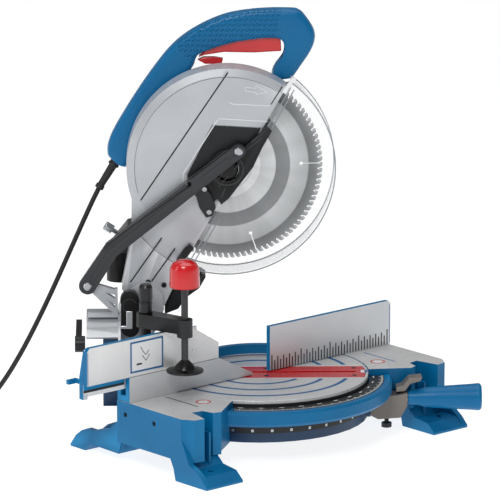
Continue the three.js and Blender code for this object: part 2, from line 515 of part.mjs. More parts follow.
// ---------------------------------------------------------------- handle
const bend = (shape, points) => shape.splineThru(points.map(([a, b]) => new THREE.Vector2(a, b)));
const handleShape = new THREE.Shape();
handleShape.moveTo(-200, 374);
bend(handleShape, [[-199, 392], [-184, 423], [-144, 485], [-104, 532], [-50, 562], [3, 571.5], [50, 572]]);
bend(handleShape, [[60, 565], [75, 541], [72, 519], [52, 488], [45, 477]]);
handleShape.lineTo(18, 475);
bend(handleShape, [[20, 492], [34, 514], [32, 531]]);
bend(handleShape, [[-5, 529], [-40, 523], [-82, 509]]);
bend(handleShape, [[-86, 494], [-110, 462], [-141, 415], [-176, 357]]);
handleShape.lineTo(-188, 360);
handleShape.closePath();
const triggerRoom = sideways(outline([[-84, 500], [-80, 520], [-38, 536], [36, 543], [36, 505]]),
  CORD_X - 8.6, CORD_X + 8.6);
const strainAxis = vec(0, 24, -39).normalize();
const strainStart = at([-189, 366], CORD_X);
const strainRoom = disc(8.2, -8, 14, strainAxis, strainStart, 20);
const handleTools = [triggerRoom, strainRoom];
const [handleLeft, handleRight] = HANDLE_X;
const seam = (handleLeft + handleRight) / 2;
part(turn, 'handle_shell_left', cut(sideways(handleShape, handleLeft, seam - GAP / 2, 5), ...handleTools),
  BLUE, 0.45, 0.1);
part(turn, 'handle_shell_right', cut(sideways(handleShape, seam + GAP / 2, handleRight, 5),
  ...handleTools), BLUE, 0.45, 0.1);
const triggerShape = outline([[-79, 507], [-70, 517], [-38, 529], [0, 534], [30, 535], [31, 515], [-5, 513],
  [-45, 514], [-71, 510]]);
part(turn, 'trigger', sideways(triggerShape, CORD_X - 8, CORD_X + 8), RED, 0.35, 0);
const tabShape = outline([[-80, 503], [-70, 497.5], [-48, 497.5], [-46, 504.5], [-58, 506.5], [-72, 506.5]]);
part(turn, 'release_tab', sideways(tabShape, CORD_X - 5, CORD_X + 5), RED, 0.35, 0);
part(turn, 'strain_relief', turned([[0, -7], [6.8, -7], [6.8, 4], [7.6, 4.8], [7.6, 7], [5.6, 8],
  [4.8, 38], [6, 39], [6, 44], [0, 44]],
  strainAxis, strainStart, 20), BLACK, 0.6, 0);

// ---------------------------------------------------------------- mains lead
const cordExit = vec(...strainStart).addScaledVector(strainAxis, 44 + GAP);
const lead = [[-222, 308], [-236, 277], [-252, 241], [-268, 205], [-285, 168], [-302, 133], [-320, 99],
  [-340, 66],
  [-362, 37], [-386, 16], [-410, 6], [-432, CORD_R + 0.1]].map(([u, z]) => vec(CORD_X, -u, z));
lead.push(vec(CORD_X, 444.8, CORD_R + 0.1));
const leadCurve = new THREE.CatmullRomCurve3([cordExit, ...lead], false, 'centripetal');
const section = new THREE.Shape().absarc(0, 0, CORD_R, 0, 2 * Math.PI, false);
const looseLead = new THREE.ExtrudeGeometry(section, { steps: 30, curveSegments: 4, extrudePath: leadCurve });
part(turn, 'cord_tube', looseLead, BLACK, 0.6, 0);
const coilPlace = [COIL_X, -COIL_U, 0];
const coilRing = tubeRing(COIL_MID_R - COIL_HALF, COIL_MID_R + COIL_HALF, 0, COIL_HIGH, Z, coilPlace, 36);
part(turn, 'cord_coil', coilRing, BLACK, 0.6, 0);
const PLUG_R = 17;
const plugCentre = [COIL_X - COIL_MID_R - 15, -COIL_U - 24, PLUG_R + 0.2];
const plugPins = [-9.5, 9.5].map((x) => disc(2.4, 38, 57, FORWARD, [plugCentre[0] + x, plugCentre[1],
  plugCentre[2]], 12));
part(turn, 'plug', join(turned([[0, 0], [5.5, 0], [6.5, 10], [12, 14], [PLUG_R, 20], [PLUG_R, 36],
  [15, 39], [0, 39]], FORWARD, plugCentre, 24),
  ...plugPins), BLACK, 0.5, 0);

export default saw;
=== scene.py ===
# Looks of a bench-top compound mitre saw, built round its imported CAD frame. Metres, +Z up.
import json
import math

import bmesh
import bpy
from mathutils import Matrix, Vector


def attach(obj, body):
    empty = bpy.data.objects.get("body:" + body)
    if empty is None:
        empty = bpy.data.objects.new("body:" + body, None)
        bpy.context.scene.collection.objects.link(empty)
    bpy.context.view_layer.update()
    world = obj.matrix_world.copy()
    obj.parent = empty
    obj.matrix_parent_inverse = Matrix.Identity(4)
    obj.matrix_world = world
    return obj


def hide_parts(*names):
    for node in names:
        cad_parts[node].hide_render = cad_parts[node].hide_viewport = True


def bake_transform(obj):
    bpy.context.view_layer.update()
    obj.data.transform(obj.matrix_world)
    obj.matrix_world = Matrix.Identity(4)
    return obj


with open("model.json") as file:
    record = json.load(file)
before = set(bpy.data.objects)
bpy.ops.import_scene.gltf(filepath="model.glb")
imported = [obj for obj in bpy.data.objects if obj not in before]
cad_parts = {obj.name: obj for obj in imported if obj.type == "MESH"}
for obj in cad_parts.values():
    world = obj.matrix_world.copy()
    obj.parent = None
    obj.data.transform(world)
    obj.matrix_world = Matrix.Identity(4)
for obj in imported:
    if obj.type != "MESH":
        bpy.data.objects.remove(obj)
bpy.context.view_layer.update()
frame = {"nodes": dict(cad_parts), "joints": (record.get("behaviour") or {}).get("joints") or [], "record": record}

scene = bpy.context.scene
scene.view_settings.view_transform = "Standard"

# ---------------------------------------------------------------- places
MM = 0.001
JOINTS = {joint["name"]: joint for joint in frame["joints"]}
BODY_OF = {node: body for body, nodes in frame["record"]["behaviour"]["bodies"].items() for node in nodes}
SLOT_OF = {entry["node"]: entry["material_slot"] for entry in frame["record"]["subparts"]}
SWIVEL = Vector(JOINTS["mitre_swivel"]["pos_m"])  # where the turntable's axis meets the floor
FORWARD = Vector(JOINTS["bevel_tilt"]["axis"])  # along the arm, away from the column
RIGHT = -Vector(JOINTS["head_chop"]["axis"])  # across the blade, to the motor's side
UP = Vector((0, 0, 1))


def saw(x, u, z):
    """A point of the turned saw in millimetres: x across the blade, u forward along the arm, z up."""
    return SWIVEL + (RIGHT * x + FORWARD * u + UP * z) * MM


def bench(x, y, z):
    """A point of the fixed base in millimetres, seen from the turntable's axis."""
    return SWIVEL + Vector((x, y, z)) * MM


HUB = (-42.0, 369.5)  # blade centre: forward, up
BLADE_R = 127.0
GUARD_R = 133.0
GUARD_X = 21.0
TABLE_Z = 85.0
SCALE_Z = 77.2  # upper face of the mitre scale plate
TICK_END_R = 167  # outer end of its ticks


def round_hub(angle, r):
    """A point of the side view at that angle, in degrees, and radius from the blade's centre."""
    a = math.radians(angle)
    return HUB[0] + r * math.cos(a), HUB[1] + r * math.sin(a)


# ---------------------------------------------------------------- camera, light and floor
CAMERA_AZIMUTH = -41.25
CAMERA_PITCH = 13.514
CAMERA_AWAY = 6.2
CAMERA_AIM = SWIVEL + Vector((-0.129, -0.13, 0.2968))


def make_camera():
    data = bpy.data.cameras.new("camera")
    data.lens = 345.87
    data.sensor_width = 36
    data.clip_end = 30
    camera = bpy.data.objects.new("camera", data)
    scene.collection.objects.link(camera)
    a, e = math.radians(CAMERA_AZIMUTH), math.radians(CAMERA_PITCH)
    back = Vector((math.sin(a) * math.cos(e), -math.cos(a) * math.cos(e), math.sin(e)))
    camera.location = CAMERA_AIM + back * CAMERA_AWAY
    camera.rotation_euler = (-back).to_track_quat("-Z", "Y").to_euler()
    scene.camera = camera


def area_light(name, place, aim, size, power):
    data = bpy.data.lights.new(name, "AREA")
    data.shape = "RECTANGLE"
    data.size, data.size_y = size
    data.energy = power
    light = bpy.data.objects.new(name, data)
    scene.collection.objects.link(light)
    light.location = place
    light.rotation_euler = (Vector(aim) - Vector(place)).to_track_quat("-Z", "Y").to_euler()


def make_studio():
    world = bpy.data.worlds.new("studio")
    scene.world = world
    world.use_nodes = True
    background = world.node_tree.nodes["Background"]
    background.inputs["Color"].default_value = (1, 1, 1, 1)
    background.inputs["Strength"].default_value = 0.26
    area_light("key", (-2.2, -1.6, 2.6), (0, 0, 0.2), (1.2, 1.2), 52)
    area_light("side", (-2.6, 1.0, 1.2), (0, 0, 0.3), (0.8, 1.8), 10)
    area_light("top", (0.4, 0.2, 2.4), (0, 0, 0.1), (1.8, 1.8), 20)


def make_floor():
    mesh = bpy.data.meshes.new("floor")
    half = 14
    corners = [(-half, -half, 0), (half, -half, 0), (half, half, 0), (-half, half, 0)]
    mesh.from_pydata(corners, [], [(0, 1, 2, 3)])
    floor = bpy.data.objects.new("floor", mesh)
    scene.collection.objects.link(floor)
    floor.location.z = -0.0005
    material = bpy.data.materials.new("floor")
    material.use_nodes = True
    shader = material.node_tree.nodes["Principled BSDF"]
    shader.inputs["Base Color"].default_value = (0.35, 0.35, 0.35, 1)
    shader.inputs["Roughness"].default_value = 0.9
    shader.inputs["Emission Color"].default_value = (1, 1, 1, 1)
    shader.inputs["Emission Strength"].default_value = 0.86
    mesh.materials.append(material)


make_camera()
make_studio()
make_floor()


# ---------------------------------------------------------------- materials
def linear(r, g, b):
    """A display colour, 0 to 255, as a shader's colour."""
    channels = [c / 255 for c in (r, g, b)]
    return [c / 12.92 if c < 0.04045 else ((c + 0.055) / 1.055) ** 2.4 for c in channels] + [1]


def shaded(name, light, dark, rough, metal=0.0, grain=(900, 900, 900), bump=0.15, patch=18.0, spread=0.08,
           coat=0.0, edge_wear_and_sheen=None, specular=0.5):
    """A surface with soft patches between two colours, fine grain in its gloss and height, and lighter sharp
    edges, partly worn and partly painted highlight.
    """
    material = bpy.data.materials.new(name)
    material.use_nodes = True
    nodes, links = material.node_tree.nodes, material.node_tree.links
    shader = nodes["Principled BSDF"]
    shader.inputs["Metallic"].default_value = metal
    shader.inputs["Coat Weight"].default_value = coat
    shader.inputs["Specular IOR Level"].default_value = specular
    shader.inputs["Coat Roughness"].default_value = 0.12
    place = nodes.new("ShaderNodeTexCoord")
    cloud = nodes.new("ShaderNodeTexNoise")
    cloud.inputs["Scale"].default_value = patch
    cloud.inputs["Detail"].default_value = 5
    links.new(place.outputs["Object"], cloud.inputs["Vector"])
    mix = nodes.new("ShaderNodeMix")
    mix.data_type = "RGBA"
    mix.inputs["A"].default_value = light
    mix.inputs["B"].default_value = dark
    links.new(cloud.outputs["Fac"], mix.inputs["Factor"])
    colour = mix.outputs["Result"]
    # Sharp edges lifted towards the edge colour: partly worn, partly a painted highlight along them.
    if edge_wear_and_sheen:
        shape = nodes.new("ShaderNodeNewGeometry")
        edge = nodes.new("ShaderNodeMapRange")
        edge.inputs["From Min"].default_value = 0.53
        edge.inputs["From Max"].default_value = 0.60
        edge.inputs["To Max"].default_value = 0.75
        links.new(shape.outputs["Pointiness"], edge.inputs["Value"])
        worn = nodes.new("ShaderNodeMix")
        worn.data_type = "RGBA"
        worn.inputs["B"].default_value = edge_wear_and_sheen
        links.new(edge.outputs["Result"], worn.inputs["Factor"])
        links.new(colour, worn.inputs["A"])
        colour = worn.outputs["Result"]
    links.new(colour, shader.inputs["Base Color"])
    stretch = nodes.new("ShaderNodeMapping")
    stretch.inputs["Scale"].default_value = grain
    links.new(place.outputs["Object"], stretch.inputs["Vector"])
    fine = nodes.new("ShaderNodeTexNoise")
    fine.inputs["Scale"].default_value = 1.0
    fine.inputs["Detail"].default_value = 3
    links.new(stretch.outputs["Vector"], fine.inputs["Vector"])
    gloss = nodes.new("ShaderNodeMapRange")
    gloss.inputs["To Min"].default_value = max(rough - spread, 0.03)
    gloss.inputs["To Max"].default_value = min(rough + spread, 1.0)
    links.new(fine.outputs["Fac"], gloss.inputs["Value"])
    links.new(gloss.outputs["Result"], shader.inputs["Roughness"])
    relief = nodes.new("ShaderNodeBump")
    relief.inputs["Strength"].default_value = bump
    relief.inputs["Distance"].default_value = 0.0004
    links.new(fine.outputs["Fac"], relief.inputs["Height"])
    links.new(relief.outputs["Normal"], shader.inputs["Normal"])
    return material


def clear_plastic():
    """Water-clear guard plastic with faint haze: seen through, and more opaque and pale towards glancing angles, a
    painted sheen.
    """
    material = bpy.data.materials.new("clear_plastic")
    material.use_nodes = True
    nodes, links = material.node_tree.nodes, material.node_tree.links
    shader = nodes["Principled BSDF"]
    shader.inputs["Base Color"].default_value = linear(236, 242, 244)
    shader.inputs["IOR"].default_value = 1.3
    place = nodes.new("ShaderNodeTexCoord")
    haze = nodes.new("ShaderNodeTexNoise")
    haze.inputs["Scale"].default_value = 60
    haze.inputs["Detail"].default_value = 4
    links.new(place.outputs["Object"], haze.inputs["Vector"])
    gloss = nodes.new("ShaderNodeMapRange")
    gloss.inputs["To Min"].default_value = 0.05
    gloss.inputs["To Max"].default_value = 0.14
    links.new(haze.outputs["Fac"], gloss.inputs["Value"])
    links.new(gloss.outputs["Result"], shader.inputs["Roughness"])
    # Painted sheen: the pale colour shows more at glancing angles, where the plastic would reflect.
    facing = nodes.new("ShaderNodeLayerWeight")
    facing.inputs["Blend"].default_value = 0.35
    glancing_sheen = nodes.new("ShaderNodeMapRange")
    glancing_sheen.inputs["To Min"].default_value = 0.04
    glancing_sheen.inputs["To Max"].default_value = 0.34
    links.new(facing.outputs["Facing"], glancing_sheen.inputs["Value"])
    links.new(glancing_sheen.outputs["Result"], shader.inputs["Alpha"])
    return material


# The lighter edge colours make sharp edges brighter: partly worn, partly painted highlight.
FINISHES = {
    "blue_enamel": shaded("blue_enamel", linear(0, 112, 164), linear(0, 96, 146), 0.4, bump=0.25,
                          grain=(500, 500, 500), coat=0.06, specular=0.22, edge_wear_and_sheen=linear(20, 136, 190)),
    "blue_plastic": shaded("blue_plastic", linear(0, 112, 166), linear(0, 98, 150), 0.4, bump=0.2,
                           coat=0.06, specular=0.22, edge_wear_and_sheen=linear(16, 128, 182)),
    "dark_blue_frame": shaded("dark_blue_frame", linear(0, 60, 98), linear(0, 46, 80), 0.45, bump=0.3,
                              coat=0.1),
    "cast_silver": shaded("cast_silver", linear(196, 199, 203), linear(172, 176, 181), 0.38, metal=0.45,
                          bump=0.22, grain=(700, 700, 700), edge_wear_and_sheen=linear(228, 230, 232)),
    "bare_table": shaded("bare_table", linear(238, 238, 238), linear(205, 206, 207), 0.3, metal=0.35,
                         grain=(30, 900, 30), bump=0.12),
    "plain_steel": shaded("plain_steel", linear(186, 189, 192), linear(160, 164, 168), 0.28, metal=1.0,
                          bump=0.1),
    "black_steel": shaded("black_steel", linear(6, 6, 7), linear(2, 2, 3), 0.3, bump=0.2,
                          coat=0.1, specular=0.3, edge_wear_and_sheen=linear(58, 61, 65)),
    "chrome_plate": shaded("chrome_plate", linear(222, 224, 228), linear(204, 207, 212), 0.12, metal=1.0,
                           bump=0.05, spread=0.04),
    "black_plastic": shaded("black_plastic", linear(9, 9, 10), linear(4, 4, 5), 0.34, bump=0.3, specular=0.28,
                            edge_wear_and_sheen=linear(56, 60, 64)),
    "red_plastic": shaded("red_plastic", linear(214, 8, 20), linear(190, 2, 12), 0.24, bump=0.08, coat=0.5,
                          spread=0.05),
    "grey_enamel": shaded("grey_enamel", linear(128, 122, 116), linear(108, 102, 97), 0.45, metal=0.2,
                          bump=0.3),
    "scale_plate": shaded("scale_plate", linear(44, 46, 48), linear(32, 34, 36), 0.4, metal=0.3, bump=0.1),
    "lead_rubber": shaded("lead_rubber", linear(30, 30, 32), linear(20, 20, 22), 0.58, bump=0.3),
    "clear_plastic": clear_plastic(),
}


# ---------------------------------------------------------------- making pieces
def link(name, mesh, slot, body):
    """Puts a finished mesh in the scene as a piece of that body, in that finish."""
    piece = bpy.data.objects.new(name, mesh)
    scene.collection.objects.link(piece)
    mesh.materials.clear()
    mesh.materials.append(FINISHES[slot])
    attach(piece, body)
    return piece


def soften(piece, width, segments=2, angle=32):
    """Rounds a piece's sharp edges and shades it smooth."""
    bevel = piece.modifiers.new("rounding", "BEVEL")
    bevel.width = width * MM
    bevel.segments = segments
    bevel.limit_method = "ANGLE"
    bevel.angle_limit = math.radians(angle)
    piece.data.shade_smooth()
    piece.data.set_sharp_from_angle(angle=math.radians(angle))
    weighted = piece.modifiers.new("even_shading", "WEIGHTED_NORMAL")
    weighted.keep_sharp = True
    return piece


def tidy_mesh(mesh):
    """Joins doubled corners and flat neighbouring triangles, so that edges can be rounded."""
    bm = bmesh.new()
    bm.from_mesh(mesh)
    bmesh.ops.remove_doubles(bm, verts=bm.verts, dist=0.00002)
    bmesh.ops.dissolve_limit(bm, angle_limit=math.radians(1.0), verts=bm.verts, edges=bm.edges)
    bm.to_mesh(mesh)
    bm.free()


def carved(mesh, cutters):
    """The mesh with the cutters' space taken out of it; the cutters are removed."""
    body = bpy.data.objects.new("carving", mesh)
    scene.collection.objects.link(body)
    for cutter in cutters:
        step = body.modifiers.new("cut", "BOOLEAN")
        step.operation = "DIFFERENCE"
        step.solver = "EXACT"
        step.object = cutter
    bpy.context.view_layer.update()
    shape = body.evaluated_get(bpy.context.evaluated_depsgraph_get())
    result = bpy.data.meshes.new_from_object(shape)
    for thing in [body, *cutters]:
        bpy.data.objects.remove(thing)
    return result


def paint(mesh, test, finish):
    """Gives another finish to the faces whose centre (in the saw's or base's mm) and normal pass the test."""
    mesh.materials.append(FINISHES[finish])
    number = len(mesh.materials) - 1
    for face in mesh.polygons:
        if test((face.center - SWIVEL) / MM, face.normal):
            face.material_index = number


def refine(node, width=0.8, segments=2, cutters=(), paints=()):
    """A copy of a CAD node with rounded edges, which is shown in its place."""
    mesh = frame["nodes"][node].data.copy()
    tidy_mesh(mesh)
    if cutters:
        mesh = carved(mesh, cutters)
        tidy_mesh(mesh)
    mesh.name = node + "_fine"
    piece = link(node + "_fine", mesh, SLOT_OF[node], BODY_OF[node])
    for test, finish in paints:
        paint(mesh, test, finish)
    if width:
        soften(piece, width, segments)
    else:
        mesh.shade_smooth()
        mesh.set_sharp_from_angle(angle=math.radians(20))
    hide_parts(node)
    return piece


def filled(loops):
    """A bmesh with one flat face region between an outer loop and its holes, each a list of points."""
    bm = bmesh.new()
    for loop in loops:
        corners = [bm.verts.new(p) for p in loop]
        for a, b in zip(corners, corners[1:] + corners[:1]):
            bm.edges.new((a, b))
    bmesh.ops.triangle_fill(bm, use_beauty=True, edges=bm.edges[:])
    return bm


def thick(name, loops, x0, x1, place=saw):
    """The mesh of a side view, one outer loop and any holes as (forward, up), given width from x0 to x1."""
    bm = filled([[place(x0, u, z) for u, z in loop] for loop in loops])
    bmesh.ops.dissolve_limit(bm, angle_limit=0.01, verts=bm.verts, edges=bm.edges)
    grown = bmesh.ops.extrude_face_region(bm, geom=bm.faces[:])
    shift = place(x1, 0, 0) - place(x0, 0, 0)
    for item in grown["geom"]:
        if isinstance(item, bmesh.types.BMVert):
            item.co += shift
    bmesh.ops.recalc_face_normals(bm, faces=bm.faces)
    mesh = bpy.data.meshes.new(name)
    bm.to_mesh(mesh)
    bm.free()
    return mesh


def slab(name, loops, x0, x1, slot, body, width=0.6):
    """A piece made of a side view given width from x0 to x1, with its edges rounded."""
    piece = link(name, thick(name, loops, x0, x1), slot, body)
    if width:
        soften(piece, width)
    return piece


def arc(centre, r, start, end, steps):
    """Points of the side view along an arc, angles in degrees."""
    turns = [math.radians(start + (end - start) * i / steps) for i in range(steps + 1)]
    return [(centre[0] + r * math.cos(t), centre[1] + r * math.sin(t)) for t in turns]


def circle(centre, r, steps=32):
    return arc(centre, r, 0, 360, steps)[:-1]


def lathe(name, profile, centre, axis, slot, body, steps=48, width=0.0):
    """A turned piece: profile of (radius, distance along the axis) in millimetres, from a point in metres."""
    axis = Vector(axis).normalized()
    side = axis.orthogonal().normalized()
    other = axis.cross(side)
    bm = bmesh.new()
    rings = []
    for r, h in profile:
        if r < 1e-6:
            rings.append([bm.verts.new(centre + axis * h * MM)])
            continue
        turns = [2 * math.pi * i / steps for i in range(steps)]
        rings.append([bm.verts.new(centre + (axis * h + (side * math.cos(t) + other * math.sin(t)) * r) * MM)
                      for t in turns])
    for low, high in zip(rings, rings[1:]):
        for i in range(steps):
            j = (i + 1) % steps
            corners = [low[i % len(low)], low[j % len(low)], high[j % len(high)], high[i % len(high)]]
            face = list(dict.fromkeys(corners))
            if len(face) > 2:
                bm.faces.new(face)
    bmesh.ops.recalc_face_normals(bm, faces=bm.faces)
    mesh = bpy.data.meshes.new(name)
    bm.to_mesh(mesh)
    bm.free()
    piece = link(name, mesh, slot, body)
    if width:
        soften(piece, width)
    else:
        mesh.shade_smooth()
        mesh.set_sharp_from_angle(angle=math.radians(35))
    return piece


# ---------------------------------------------------------------- mains lead
LEAD_R = 3.25
LEAD_X = 43.5  # plane that the lead hangs in
COIL_U = -470.0
COIL_MID_R = 36.0
COIL_PITCH = 6.6
COIL_TURNS = 3  # whole turns inwards, then the same outwards on top
OUTER_R = COIL_MID_R + 1.5 * COIL_PITCH
INNER_R = COIL_MID_R - 1.5 * COIL_PITCH
COIL_X = LEAD_X - OUTER_R
PLUG_TIP = (COIL_X - COIL_MID_R - 15, COIL_U + 24, 17.2)
LEAD_ROUTE = [(-222, 308), (-236, 277), (-252, 241), (-268, 205), (-285, 168), (-302, 133), (-320, 99),
              (-340, 66),
              (-362, 37), (-386, 16), (-410, 6), (-432, LEAD_R + 0.1), (-444.8, LEAD_R + 0.1)]
STRAIN_START = (LEAD_X, -189, 366)
STRAIN_DROP = Vector((0, -24, -39)).normalized()
LEAD_EXIT = tuple(Vector(STRAIN_START) + STRAIN_DROP * 44)


def coil_points():
    """The lead's turns: inwards on the floor, up, outwards on top, then off towards the plug."""
    points = [(LEAD_X, COIL_U, LEAD_R + 0.1)]
    steps = 24
    low, high = LEAD_R + 0.1, LEAD_R + 0.1 + COIL_PITCH
    climb = 0.5
    total = 2 * COIL_TURNS + climb
    for i in range(1, int(total * steps) + 1):
        turn = i / steps
        if turn <= COIL_TURNS:
            r, z = OUTER_R - COIL_PITCH * turn, low
        elif turn <= COIL_TURNS + climb:
            t = (turn - COIL_TURNS) / climb
            r, z = INNER_R, low + (high - low) * t * t * (3 - 2 * t)
        else:
            t = max((turn - total + 0.5) / 0.5, 0)  # the last half turn leads out to the plug
            ease = t * t * (3 - 2 * t)
            r = INNER_R + COIL_PITCH * (turn - COIL_TURNS - climb) + (COIL_X - PLUG_TIP[0] - OUTER_R) * t ** 6
            z = high + (PLUG_TIP[2] - high) * ease
        a = 2 * math.pi * turn
        points.append((COIL_X + r * math.cos(a), COIL_U - r * math.sin(a), z))
    return points


def smooth_path(points, steps=6):
    """A Catmull-Rom curve through the points."""
    out = []
    ends = [points[0] * 2 - points[1]] + points + [points[-1] * 2 - points[-2]]
    for a, b, c, d in zip(ends, ends[1:], ends[2:], ends[3:]):
        for i in range(steps):
            t = i / steps
            out.append(0.5 * (2 * b + (c - a) * t + (2 * a - 5 * b + 4 * c - d) * t * t
                              + (3 * b - a - 3 * c + d) * t ** 3))
    return out + [points[-1]]


def tube(name, path, r, slot, sides=12, close=True):
    """A round tube along a path of points in metres."""
    bm = bmesh.new()
    rings = []
    normal = (path[1] - path[0]).orthogonal().normalized()
    for i, p in enumerate(path):
        ahead = path[min(i + 1, len(path) - 1)] - path[max(i - 1, 0)]
        tangent = ahead.normalized()
        normal = (normal - tangent * normal.dot(tangent)).normalized()
        other = tangent.cross(normal)
        rings.append([bm.verts.new(p + (normal * math.cos(t) + other * math.sin(t)) * r)
                      for t in (2 * math.pi * k / sides for k in range(sides))])
    for low, high in zip(rings, rings[1:]):
        for k in range(sides):
            bm.faces.new((low[k], low[(k + 1) % sides], high[(k + 1) % sides], high[k]))
    if close:
        bm.faces.new(rings[0])
        bm.faces.new(rings[-1])
    bmesh.ops.recalc_face_normals(bm, faces=bm.faces)
    mesh = bpy.data.meshes.new(name)
    bm.to_mesh(mesh)
    bm.free()
    mesh.shade_smooth()
    mesh.materials.append(FINISHES[slot])
    piece = bpy.data.objects.new(name, mesh)
    scene.collection.objects.link(piece)
    return piece


def length_of(path):
    return sum((b - a).length for a, b in zip(path, path[1:]))


def make_lead():
    loose = [saw(*LEAD_EXIT)] + [saw(LEAD_X, u, z) for u, z in LEAD_ROUTE]
    turns = [saw(*p) for p in coil_points()]
    path = smooth_path(loose) + smooth_path(turns + [saw(*PLUG_TIP)], 2)
    for point in path:
        point.z = max(point.z, (LEAD_R + 0.1) * MM)
    lead = tube("mains_lead", path, LEAD_R * MM, "lead_rubber")
    start, end = saw(LEAD_X, -215, 322), saw(LEAD_X, -400, 10)
    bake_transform(lead)
    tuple(start)
    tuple(end)
    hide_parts("cord_tube", "cord_coil")
    round(length_of(path), 3)
    refine("plug", 0.8).name
    refine("strain_relief", 0.4).name
    tie_place = saw(COIL_X, COIL_U - COIL_MID_R, COIL_PITCH + 1.9)
    band = [tie_place + (FORWARD * 15.5 * math.cos(t) + UP * 7.3 * math.sin(t)) * MM
            for t in (2 * math.pi * k / 24 for k in range(25))]
    tie = tube("lead_tie", band, 0.9 * MM, "black_plastic", 8, close=False)
    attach(tie, "tilt")


make_lead()


# ---------------------------------------------------------------- CAD pieces with rounded edges
def above(height):
    """Faces that look up and lie at or over that height: the machined tops."""
    return lambda centre, normal: centre.z > height and normal.z > 0.9


def groove_floor(centre, normal):
    return 83.0 < centre.z < 84.6 and abs(math.hypot(centre.x, centre.y) - 91) < 34


def rear_bridge(centre, normal):
    return centre.y > 0.2 and centre.z > 86


def fence_top(centre, normal):
    return normal.z > 0.6 and centre.z > 140


def inner_edge(centre, normal):
    return normal.x < -0.9 and centre.x > 12 and centre.z > 90


def outer_end(centre, normal):
    return normal.x < -0.9


def cone_cutter(name, x0, x1, r0, r1):
    """A ring about the blade's axis with a sloping inner side, for chamfering a rim."""
    bm = bmesh.new()
    steps = 96
    profile = [(r0, x0), (GUARD_R + 14, x0), (GUARD_R + 14, x1), (r1, x1)]
    rings = []
    for i in range(steps):
        t = 2 * math.pi * i / steps
        rings.append([bm.verts.new(saw(x, HUB[0] + r * math.cos(t), HUB[1] + r * math.sin(t)))
                      for r, x in profile])
    for low, high in zip(rings, rings[1:] + rings[:1]):
        for k in range(4):
            bm.faces.new((low[k], low[(k + 1) % 4], high[(k + 1) % 4], high[k]))
    bmesh.ops.recalc_face_normals(bm, faces=bm.faces)
    mesh = bpy.data.meshes.new(name)
    bm.to_mesh(mesh)
    bm.free()
    cutter = bpy.data.objects.new(name, mesh)
    scene.collection.objects.link(cutter)
    return cutter


PAINTS = {
    "base_casting": [(above(84.5), "bare_table")],
    "turntable": [(groove_floor, "blue_enamel")],
    "fence_casting": [(rear_bridge, "blue_enamel"), (fence_top, "blue_enamel"), (inner_edge, "blue_enamel")],
    "sliding_fence": [(outer_end, "blue_enamel"), (fence_top, "blue_enamel")],
}
ROUNDING = {
    "base_casting": 1.0, "fence_casting": 0.6, "sliding_fence": 0.6, "fence_lock_lever": 0.6,
    "clamp_post": 0.5, "clamp_arm": 1.2, "clamp_knob": 1.2, "clamp_foot": 0.5,
    "turntable": 0.4, "kerf_insert": 0.4,
    "turntable_frame": 1.2, "control_arm": 1.2, "mitre_handle": 0.9, "detent_lever": 0.9, "bevel_drum": 0.9,
    "chop_shaft": 0.6, "link_anchor": 0.8, "bevel_bracket": 0.9, "bevel_pointer": 0.5,
    "bevel_lock_lever": 1.0, "link_bar": 1.2, "recess_panel": 0.3, "guard_catch_plate": 1.0, "edge_clip": 0.9,
    "dust_chute": 1.2, "dust_port": 0.8, "depth_stop_screw": 0.4, "gear_housing": 1.4, "motor_housing": 1.2,
    "motor_cap": 2.0, "brush_cap_1": 0.5, "brush_cap_2": 0.5, "outer_flange": 0.3, "inner_flange": 0.3,
    "guard_hub": 1.0, "guard_hub_cap": 0.6, "trigger": 1.4, "release_tab": 0.8,
}
for node, width in ROUNDING.items():
    refine(node, width, paints=PAINTS.get(node, ()))

RIM_WIDE = 9.5  # sloping band round the guard's near side
RIM_DEEP = 2.8
refine("head_casting", 0, cutters=[cone_cutter("rim", -GUARD_X - 1, -GUARD_X + RIM_DEEP,
                                                 GUARD_R - RIM_WIDE - RIM_WIDE / RIM_DEEP, GUARD_R)])


# ---------------------------------------------------------------- blade
TEETH = 100
SLOTS = 5
KEYHOLE_R = 2.4  # round end of each slot


